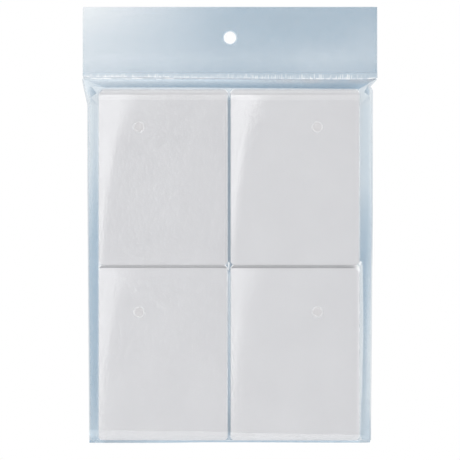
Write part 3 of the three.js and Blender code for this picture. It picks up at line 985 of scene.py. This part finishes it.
# Side welds: a thin melted bead along each edge of the pouch, with its tint and its cover by height
BEAD_WIDTH = 0.75
BEAD_DEPTH = 0.5
BEAD_OUT = 0.35
BEAD_WAVE = 0.08
BEAD_TINT = ((-209, 0.85), (-120, 0.8), (-80, 0.4), (-40, 0.1))
LEFT_BEAD_COVER = ((-110, 0.35),)
RIGHT_BEAD_COVER = ((-204, 0.4), (-192, 0.22), (-120, 0.2), (-105, 0.35))


def side_bead(name, side, corners, cover, node):
    line = path([(x + side * BEAD_OUT, z) for x, z in outline_of(corners, SEAM_NAMES)], 1.5)
    wavy = [(x + BEAD_WAVE * ripple(x, z, 3, 9.1), 0.0, z) for x, z in line]
    piece = sweep(name, wavy, BEAD_WIDTH, BEAD_DEPTH)
    heights = [vertex.co.z / MM for vertex in piece.data.vertices]
    set_vertex_values(piece, "tint", [ramp(BEAD_TINT, z) for z in heights])
    set_vertex_values(piece, "cover", [ramp(cover, z) for z in heights])
    dress_film(piece, 60, welded_film, "pouch", "welded_film", node)


side_bead("left_weld_bead", -1, LEFT, LEFT_BEAD_COVER, "left_side_weld")
side_bead("right_weld_bead", 1, RIGHT, RIGHT_BEAD_COVER, "right_side_weld")


# The film that bends between header and pouch, with small pleats in pairs under the crease. The pleats'
# white dashes are painted highlights, and the darker, greyer patches just under the crease are painted
# shadow
FOLD_LEFT, FOLD_RIGHT = -75.9, 75.4
FOLD_BOTTOM = PANEL_TOP - 0.5
FOLD_DEPTH = 0.22
FOLD_SLOPE = 0.15
FOLD_COLUMNS = 420
FOLD_ROWS = 10
# How high the two pleats of each pair lie above the top of the pouch
PLEAT_HEIGHTS = ((0.2, 0.35), (0.0, 0.42), (-0.15, 0.2), (-0.35, -0.15))
FIRST_PLEAT = -71.2
PLEAT_PITCH = 16.3
PLEAT_LENGTH = 4.2
PLEAT_GAP = 0.9
PLEAT_WIDTH = 0.22
PLEAT_RELIEF = 0.05


def pleat(x, z):
    """How much of a pleat there is at a point: two dashes in each pair, fainter to the right. The amount
    both raises the film a little and whitens it, a painted highlight.
    """
    amount = 0.0
    for pair, heights in enumerate(PLEAT_HEIGHTS):
        for half, height in enumerate(heights):
            start = FIRST_PLEAT + pair * PLEAT_PITCH + half * (PLEAT_LENGTH + PLEAT_GAP)
            middle = start + PLEAT_LENGTH / 2
            along = (x - middle) / (PLEAT_LENGTH / 2)
            across = (z - PANEL_TOP - height) / PLEAT_WIDTH
            amount += (1 - 0.1 * pair) * math.exp(-along ** 4 - across ** 2)
    return amount


def fold_film(name, side):
    def point(along, down):
        x = mix(FOLD_LEFT, FOLD_RIGHT, along)
        z = mix(crease_z(x), FOLD_BOTTOM, down)
        dash = pleat(x, z)
        shadow = max(0.0, 0.6 + 0.9 * ripple(x, 0, 6, 3.9))
        shadow *= smooth(0.45, 0.1, down) * smooth(-90, -20, x)
        depth = FOLD_DEPTH + FOLD_SLOPE * down + PLEAT_RELIEF * dash
        # Painted highlight: the dashes whiten the film. Painted shadow: `shadow` darkens and greys it.
        tint = max(TINT_LOW, ramp(SHOULDER_TOP_TINT, x) + 0.1 + 0.5 * shadow - 1.8 * dash)
        cover = free_cover(tint) * smooth(PANEL_TOP - 0.2, PANEL_TOP + 0.1, z)
        looks = {"tint": tint, "cover": max(cover, 0.5 * dash), "crease": 0.7 * shadow}
        return (x, -side * depth, z), looks

    piece = film_net(name, FOLD_ROWS, FOLD_COLUMNS, point)
    shade(piece, 40)
    bend_at_fold(piece, header_film)


for face, side in FACES.items():
    fold_film(f"fold_film_{face}", side)


# Bottom flap: a belly under the stacks, a fold along the front and a lip with a slanting, wavy edge
FLAP_FRONT = flap_low.y + CAD_FILM / 2
FLAP_BOTTOM = flap_low.z + CAD_FILM / 2
FLAP_LEFT, FLAP_RIGHT = -72.6, 72.3
LIP_LEFT_Z, LIP_RIGHT_Z = -202.3, -205.1
LIP_WAVE = 0.25
# Along the flap: how blue it is, and how far the fold along its bottom runs above its usual height
FLAP_TINT = ((-70, 1.1), (-62, 1.5), (-31, 1.0), (0, 1.1), (31, 1.05), (58, 0.9), (70, 0.6))
FLAP_WAVE = ((-33, -0.15), (-12, 0.17), (22, 0.08), (50, -0.05))
# How much of the light the flap stops: under the stacks as a share of free film, on the left and the right
# stack, in the blue fold below them, over the gap and over the side strips
BELLY_SHARE = 0.6
ON_STACK_COVERS = (0.11, 0.15)
BLUE_COVER = 0.5
GAP_COVER = 0.04
STRIP_COVER = 0.26
# Over the side strips the flap turns clear from the second of two places to the first
LEFT_CLEARING = (-206.6, -205.2)
RIGHT_CLEARING = (-206.7, -206.2)
RIGHT_END_CLEARING = (71.2, 70.6)
BLUE_GREYNESS = 0.15
BESIDE_TINT = -0.1
# The lip bends at both sides of the flat front, along lines that end above its edge
LIP_LINE_TOP = -200.0
# How far below the stacks the blue fold starts, at the left and the right
BLUE_LEFT_DROP, BLUE_RIGHT_DROP = 0.1, 0.2
# Steps in the nets of the belly and the adhesive: along the flap, and across it
BELLY_NET = (140, 18)
ADHESIVE_NET = (120, 3)
ADHESIVE_RELIEF = 0.03
ADHESIVE_WAVE = 0.06
ADHESIVE_LOOK = {"tint": -0.3, "cover": 0.04}


def flap_bottom(x):
    return FLAP_BOTTOM + ramp(FLAP_WAVE, x)


def flap_front(x, z):
    """The depth of the lip, which lies just in front of the film of the front panel."""
    if FLAT_LEFT < x < FLAT_RIGHT:
        return FLAP_FRONT
    strip = LEFT_FACET if x < 0 else RIGHT_FACET
    return strip.depth(x, z) + FLAP_FRONT - FILM_FRONT


def lip_top(x):
    along = max(0.0, (x - FLAP_LEFT) / (FLAP_RIGHT - FLAP_LEFT))
    return mix(LIP_LEFT_Z, LIP_RIGHT_Z, along ** 1.3) + LIP_WAVE * ripple(x, 0, 38, 8.8)


def flap_blue(x, z):
    return ramp(FLAP_TINT, x)


def flap_belly():
    """The film from the fold at the back, under the stacks, to the fold at the front."""
    def point(forward, along):
        x = mix(FLAP_LEFT, FLAP_RIGHT, along)
        front = flap_front(x, FLAP_BOTTOM)
        back = HINGE.y * front / FLAP_FRONT
        z = mix(flap_bottom(x), HINGE.z, (1 - forward) ** 3)
        tint = flap_blue(x, z)
        return (x, mix(back, front, forward), z), {"tint": tint, "cover": BELLY_SHARE * free_cover(tint)}

    piece = film_net("flap_belly", *BELLY_NET, point)
    dress_film(piece, 25, film, "flap", "bag_film", "bottom_flap")
    return piece


def beside_cover(x, z):
    """The cover of the lip where it lies on no stack."""
    if x < FLAT_LEFT:
        return STRIP_COVER * smooth(*LEFT_CLEARING, z)
    if x > FLAT_RIGHT:
        return STRIP_COVER * smooth(*RIGHT_CLEARING, z) * smooth(*RIGHT_END_CLEARING, x)
    return GAP_COVER


def lip_facets():
    blue_fold = [
        (FLAP_LEFT, FLAP_BOTTOM - 1), (FLAP_RIGHT, FLAP_BOTTOM - 1),
        (FLAP_RIGHT, STACK_BOTTOM), (FLAT_RIGHT, STACK_BOTTOM),
        (FLAT_RIGHT - 1, STACK_BOTTOM - BLUE_RIGHT_DROP), (FLAT_LEFT + 1, STACK_BOTTOM - BLUE_LEFT_DROP),
        (FLAT_LEFT, STACK_BOTTOM), (FLAP_LEFT, STACK_BOTTOM),
    ]
    beside = rectangle(FLAP_LEFT, FLAP_RIGHT, FLAP_BOTTOM, STACK_BOTTOM + 8)
    facets = []
    for column, cover in zip(COLUMNS, ON_STACK_COVERS):
        facets.append(Facet(stack_outline("lower", column), flap_front, TINT_LOW, cover))
    facets.append(Facet(blue_fold, flap_front, flap_blue, BLUE_COVER, BLUE_GREYNESS))
    facets.append(Facet(beside, flap_front, BESIDE_TINT, beside_cover))
    return facets


def flap_lip():
    """The film folded up over the front: whitish where it lies on the stacks, blue below them."""
    top = [(x, lip_top(x)) for x, _ in run((FLAP_LEFT, 0), (FLAP_RIGHT, 0), 1.5)]
    bottom = [(x, flap_bottom(x)) for x, _ in run((FLAP_RIGHT, 0), (FLAP_LEFT, 0), 1.5)]
    facets = lip_facets()
    lines = crease_lines(facets)
    lines += [path([(x, FLAP_BOTTOM), (x, LIP_LINE_TOP)], 1.0) for x in (FLAT_LEFT, FLAT_RIGHT)]
    points = grid((FLAP_LEFT, FLAP_BOTTOM), (FLAT_LEFT, LIP_LEFT_Z), 0.6)
    points += grid((FLAT_RIGHT, FLAP_BOTTOM), (FLAP_RIGHT, LIP_LEFT_Z), 0.6)
    piece = film_sheet("flap_lip", facets, bottom + top, lines, [], points)
    dress_film(piece, 25, film, "flap", "bag_film")
    return piece


def adhesive_film():
    def point(up, along):
        x = mix(strip_low.x, strip_high.x, along)
        z = mix(strip_low.z, strip_high.z, up)
        y = (strip_low.y + strip_high.y) / 2 + ADHESIVE_RELIEF * ripple(x, z, 2, 1.1)
        return (x, y, z + ADHESIVE_WAVE * ripple(x, 3 * up, 4, 5.5)), ADHESIVE_LOOK

    piece = film_net("flap_adhesive", *ADHESIVE_NET, point)
    dress_film(piece, 40, adhesive, "flap", "adhesive", "flap_adhesive_strip")
    return piece


for flap_piece in (flap_belly(), flap_lip(), adhesive_film()):
    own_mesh(flap_piece)


# Sleeves: the front sleeve of each stack, and bundles of loose sleeves behind it
BUNDLES = 7
SLEEVES_PER_BUNDLE = 7
SHEET = 0.05
SHEET_GAP = 0.005
FRONT_GAP = 0.12
SLEEVE_INSET = 0.14
LIP_INSET = 0.4
# The lips of the bundles are cut back further than the front lip, so that it hides them
BUNDLE_CHAMFER = LIP_CHAMFER + 2 * LIP_INSET
BUNDLE_MILK = 0.55
JOG_ASIDE, JOG_DOWN = 0.15, 0.12
# Each stack: its lip's height, how white its front sheet is, how much whiter its lip is than usual, and how
# much darker the line by the right weld is than the sheet, at its bottom and its top
STACK_LOOKS = {
    ("upper", "left"): {"lip": 2.8, "milk": 0.57, "lip_shift": 0.01, "weld": (0.24, 0.07)},
    ("upper", "right"): {"lip": 2.9, "milk": 0.603, "lip_shift": 0.05, "weld": (0.15, 0.10)},
    ("lower", "left"): {"lip": 1.6, "milk": 0.58, "lip_shift": 0.02, "weld": (0.06, 0.06)},
    ("lower", "right"): {"lip": 1.7, "milk": 0.606, "lip_shift": -0.02, "weld": (-0.10, -0.15)},
}
# The line by the right weld: its distance from the edge, and how far it is pressed in
WELD_LINE = 0.55
WELD_RELIEF = 0.06
# The upper front sheets' paler band below the top edge: its height, and how much whiter it is at its bottom
# and top
TOP_BAND = 2.8
TOP_BAND_MILK = (0.08, 0.16)
# How far the upper front sheets hang down onto the lower lips
SAG = 0.3
# The roll along a front sheet's folded left side, by the height on the sheet from 0 to 1: how far it reaches
# in, over how much width it flattens, and how steep it is, in degrees
ROLL_REACH = {
    "upper": (
        (0.0, 1.0), (0.08, 1.5), (0.2, 2.3), (0.38, 3.5),
        (0.55, 5.6), (0.73, 8.3), (0.91, 13.4), (1.0, 16.5),
    ),
    "lower": (
        (0.0, 1.0), (0.09, 1.4), (0.23, 2.0), (0.4, 3.6),
        (0.58, 5.5), (0.75, 7.2), (0.93, 10.8), (1.0, 13.0),
    ),
}
ROLL_WIDTH = {
    "upper": ((0.0, 0.7), (0.75, 1.1), (0.9, 2.8), (1.0, 3.2)),
    "lower": ((0.0, 0.7), (0.75, 1.5), (0.93, 3.6), (1.0, 4.0)),
}
ROLL_TILT = {"upper": ((0.0, 1.4), (0.5, 1.8)), "lower": ((0.0, 0.95), (1.0, 1.35))}
# How white a lip looks, by the height on the lip from 0 to 1: the darker lines are painted shade in its
# pressed grooves, and the lower lips are darker all over, a painted shadow of the upper stacks
LIP_MILK_AND_SHADE = {
    "upper": (
        (0.0, 0.61), (0.2, 0.59), (0.34, 0.57), (0.44, 0.70),
        (0.6, 0.70), (0.72, 0.57), (0.84, 0.50), (1.0, 0.52),
    ),
    "lower": ((0.0, 0.22), (0.5, 0.24), (0.75, 0.40), (1.0, 0.45)),
}
LIP_RELIEF = 0.2
# How much whiter the right end of the lower right lip is: a painted highlight of the film creased over it
PALE_END = 0.35


def front_sheet(row, column):
    """The front sheet of a stack: it rolls away at its folded left side, more so towards the top."""
    low, high = STACKS[row, column]
    look = STACK_LOOKS[row, column]
    top = high.z - look["lip"]
    bottom = low.z - (SAG if row == "upper" else 0.0)
    left = low.x + SLEEVE_INSET
    outline = sheet_outline(left, high.x, bottom, top, 0.0)
    points = grid((low.x + 20, bottom), (high.x - 3, top), 3)
    points += grid((low.x, bottom), (low.x + 20, top), 1.2)
    points += grid((high.x - 3, bottom), (high.x, top), 0.3)
    top_band_line = [path([(left, top - TOP_BAND), (high.x, top - TOP_BAND)], 1.5)] if row == "upper" else []
    flat, faces = cut_sheet(path(outline, 1.0, True), top_band_line, [], points)

    def depth(x, z):
        up = (z - low.z) / (top - low.z)
        width = ramp(ROLL_WIDTH[row], up)
        inward = (ramp(ROLL_REACH[row], up) - (x - low.x)) / width
        roll = math.radians(ramp(ROLL_TILT[row], up)) * width * math.log1p(math.exp(inward))
        weld = WELD_RELIEF * bell(high.x - WELD_LINE - x, 0.25)
        return FILM_FRONT + FRONT_GAP + roll + weld

    def milk(x, z, in_top_band):
        band_milk = mix(*TOP_BAND_MILK, (z - top + TOP_BAND) / TOP_BAND) if in_top_band else 0.0
        dark_line = mix(*look["weld"], (z - low.z) / (top - low.z)) * bell(high.x - WELD_LINE - x, 0.3)
        pale_line = 0.05 * bell(high.x - 2.7 * WELD_LINE - x, 0.3)
        darker_side = 0.02 * smooth(high.x - 8, high.x, x)
        return look["milk"] + band_milk - (dark_line - pale_line) - darker_side

    vertices = [(x, depth(x, z), z) for x, z in flat]
    piece = make_object(f"sleeve_front_sheet_{row}_{column}", vertices, faces)
    values = []
    for face in faces:
        middle_z = sum(flat[i][1] for i in face) / 3
        in_top_band = row == "upper" and middle_z > top - TOP_BAND
        values += [milk(*flat[i], in_top_band) for i in face]
    set_corner_values(piece, "milk", values)
    thicken(piece, SHEET)
    shade(piece, 40)
    dress(piece, sleeve_film, "contents", "sleeve_film", f"front_sleeve_{row}_{column}")


def slab(vertices, faces, outline, front, back, shift):
    """Adds a flat sheet with the given outline to a mesh that is being listed."""
    first = len(vertices)
    count = len(outline)
    for y in (front, back):
        vertices += [(x + shift[0], y, z + shift[1]) for x, z in outline]
    faces.append(tuple(range(first, first + count)))
    faces.append(tuple(range(first + 2 * count - 1, first + count - 1, -1)))
    for i in range(count):
        j = (i + 1) % count
        faces.append((first + j, first + i, first + count + i, first + count + j))


def back_sheet(row, column):
    """The back sheet of the front sleeve, whose lip stands above the front sheet with its pressed lines in
    painted shade.
    """
    low, high = STACKS[row, column]
    look = STACK_LOOKS[row, column]
    bottom = high.z - look["lip"]
    outline = sheet_outline(low.x + LIP_INSET, high.x - LIP_INSET, low.z, high.z, LIP_CHAMFER)
    lines = []
    for place, _ in LIP_MILK_AND_SHADE[row]:
        z = mix(bottom, high.z, place * 0.99)
        lines.append(path([(low.x + 2, z), (high.x - 2, z)], 1.5))
    flat, faces = cut_sheet(path(outline, 2.0, True), lines, [], [])

    def milk(x, z):
        end = PALE_END if (row, column) == ("lower", "right") else 0.0
        end *= smooth(high.x - 3.6, high.x - 2.8, x)
        return ramp(LIP_MILK_AND_SHADE[row], (z - bottom) / look["lip"]) + look["lip_shift"] + end

    y = high.y - SHEET / 2
    vertices = [(x, y - LIP_RELIEF * (milk(x, z) - 0.5), z) for x, z in flat]
    piece = make_object(f"sleeve_back_sheet_{row}_{column}", vertices, faces)
    set_vertex_values(piece, "milk", [milk(x, z) for x, z in flat])
    thicken(piece, SHEET)
    shade(piece, 40)
    dress(piece, sleeve_film, "contents", "sleeve_film")


def bundle(row, column, number):
    """Seven loose sleeves, each a front sheet and a longer back sheet, jogged nearly level."""
    node = f"sleeve_bundle_{row}_{column}_{number}"
    low, high = node_box(node)
    dice = random.Random(node)
    pitch = (high.y - low.y) / SLEEVES_PER_BUNDLE
    left = low.x + SLEEVE_INSET
    long_outline = sheet_outline(left, high.x, low.z, high.z, BUNDLE_CHAMFER)
    short_outline = sheet_outline(left, high.x, low.z, high.z - STACK_LOOKS[row, column]["lip"], 0.0)
    vertices = []
    faces = []
    for i in range(SLEEVES_PER_BUNDLE):
        shift = (dice.uniform(-JOG_ASIDE, JOG_ASIDE), dice.uniform(-JOG_DOWN, 0.0))
        front = low.y + i * pitch
        slab(vertices, faces, short_outline, front, front + SHEET, shift)
        slab(vertices, faces, long_outline, front + pitch - SHEET, front + pitch - SHEET_GAP, shift)
    piece = make_object(f"sleeves_{row}_{column}_{number}", vertices, faces)
    set_even_values(piece, milk=BUNDLE_MILK)
    dress(piece, sleeve_film, "contents", "sleeve_film", node)


for stack_row, stack_column in STACKS:
    front_sheet(stack_row, stack_column)
    back_sheet(stack_row, stack_column)
    for bundle_number in range(1, BUNDLES + 1):
        bundle(stack_row, stack_column, bundle_number)


# Stage, in metres: a pale floor below the hanging bag, large soft lights before and behind it, white
# surroundings, and a long lens that is square on to the front
PHOTO_PIXELS = 460
METRES_PER_PIXEL = 0.516 * MM
BAG_MIDDLE = Vector((0.0, 0.0, -99.2 * MM))
CAMERA_DISTANCE = 9.0
CAMERA_SENSOR = 36.0
FLOOR_RADIUS = 1.1
FLOOR_SIDES = 96
FLOOR_Z = -0.43
FLOOR_GLOW = 0.38
WORLD_LIGHT = 0.50
LIGHT_DISTANCE = 12.0
LIGHT_ASIDE, LIGHT_UP = math.radians(13.6), math.radians(8)
LIGHT_WIDTH, LIGHT_HEIGHT = 5.1, 8.1
LIGHTS = {"key": (-1, 5.4), "back": (1, 5.0)}


def seen_rays(tree):
    """1 on rays that show the background: seen straight, mirrored or through glass."""
    rays = tree.nodes.new("ShaderNodeLightPath")
    seen = rays.outputs["Is Camera Ray"]
    for name in ("Is Glossy Ray", "Is Transmission Ray"):
        either = {0: seen, 1: rays.outputs[name]}
        seen = add_node(tree, "ShaderNodeMath", "Value", either, operation="MAXIMUM")
    return seen


def strength_by_ray(tree, unseen, seen, target):
    """Sets how strongly a surface or the world shines on the object and to the eye."""
    limits = {"To Min": unseen, "To Max": seen}
    strength = add_node(tree, "ShaderNodeMapRange", "Result", {"Value": seen_rays(tree), **limits})
    tree.links.new(strength, target)


def floor():
    rim = [(x / MM, y / MM, FLOOR_Z / MM) for x, y in circle(0, 0, FLOOR_RADIUS, FLOOR_SIDES)]
    piece = make_object("floor", rim, [range(FLOOR_SIDES)])
    material = bpy.data.materials.new("floor")
    material.use_nodes = True
    surface = material.node_tree.nodes["Principled BSDF"]
    surface.inputs["Base Color"].default_value = (0.9, 0.9, 0.9, 1.0)
    surface.inputs["Roughness"].default_value = 0.9
    surface.inputs["Emission Color"].default_value = (1.0, 1.0, 1.0, 1.0)
    strength_by_ray(material.node_tree, 0.0, FLOOR_GLOW, surface.inputs["Emission Strength"])
    piece.data.materials.append(material)


def soft_light(name, side, radiance):
    """A large panel that faces the bag, before it with side -1 and behind it with side 1."""
    aside = side * math.sin(LIGHT_ASIDE)
    direction = Vector((aside, side * math.cos(LIGHT_ASIDE), math.sin(LIGHT_UP)))
    light = bpy.data.lights.new(name, "AREA")
    light.shape = "RECTANGLE"
    light.size = LIGHT_WIDTH
    light.size_y = LIGHT_HEIGHT
    light.energy = radiance * math.pi * LIGHT_WIDTH * LIGHT_HEIGHT
    lamp = bpy.data.objects.new(name, light)
    lamp.location = direction * LIGHT_DISTANCE + BAG_MIDDLE
    lamp.rotation_euler = (BAG_MIDDLE - lamp.location).to_track_quat("-Z", "Y").to_euler()
    lamp.visible_camera = False
    bpy.context.collection.objects.link(lamp)


def surroundings():
    """White as seen, mirrored or through glass, and dimmer as light on the object."""
    world = bpy.data.worlds.new("white")
    bpy.context.scene.world = world
    world.use_nodes = True
    background = world.node_tree.nodes["Background"]
    background.inputs["Color"].default_value = (1.0, 1.0, 1.0, 1.0)
    strength_by_ray(world.node_tree, WORLD_LIGHT, 1.0, background.inputs["Strength"])


def camera():
    data = bpy.data.cameras.new("camera")
    data.sensor_width = CAMERA_SENSOR
    data.lens = CAMERA_SENSOR * CAMERA_DISTANCE / (PHOTO_PIXELS * METRES_PER_PIXEL)
    data.clip_end = 100.0
    viewer = bpy.data.objects.new("camera", data)
    viewer.location = (0.0, -CAMERA_DISTANCE, BAG_MIDDLE.z)
    viewer.rotation_euler = (math.radians(90), 0, 0)
    bpy.context.collection.objects.link(viewer)
    bpy.context.scene.camera = viewer


floor()
for light_name, (light_side, light_radiance) in LIGHTS.items():
    soft_light(light_name, light_side, light_radiance)
surroundings()
camera()
bpy.context.scene.view_settings.view_transform = "Standard"
bpy.context.scene.cycles.transparent_max_bounces = 32
